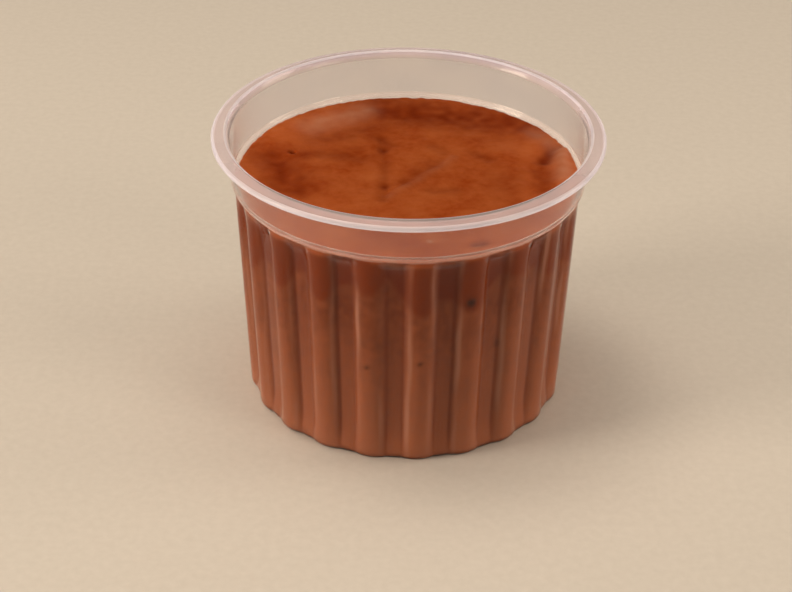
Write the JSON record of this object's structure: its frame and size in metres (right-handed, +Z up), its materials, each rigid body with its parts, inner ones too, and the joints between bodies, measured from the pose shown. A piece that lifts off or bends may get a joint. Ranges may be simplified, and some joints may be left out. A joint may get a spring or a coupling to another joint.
{
  "type": "chocolate mousse",
  "caption": "Chocolate mousse set in a fluted, see-through plastic dessert cup with a smooth collar and a flat turned-down rim.",
  "frame": {"origin": "middle of the plane that the cup stands on", "axes": "+Z up along the cup's axis, -Y towards the side that was seen from the front, +X to its right"},
  "size_m": [0.088, 0.088, 0.0655],
  "materials": {
    "cup_plastic": "thin, glossy, slightly milky polypropylene",
    "mousse": "satin, finely aerated reddish brown mousse"
  },
  "bodies": {
    "root": {"cup": "cup_plastic", "mousse": "mousse"}
  },
  "joints": []
}
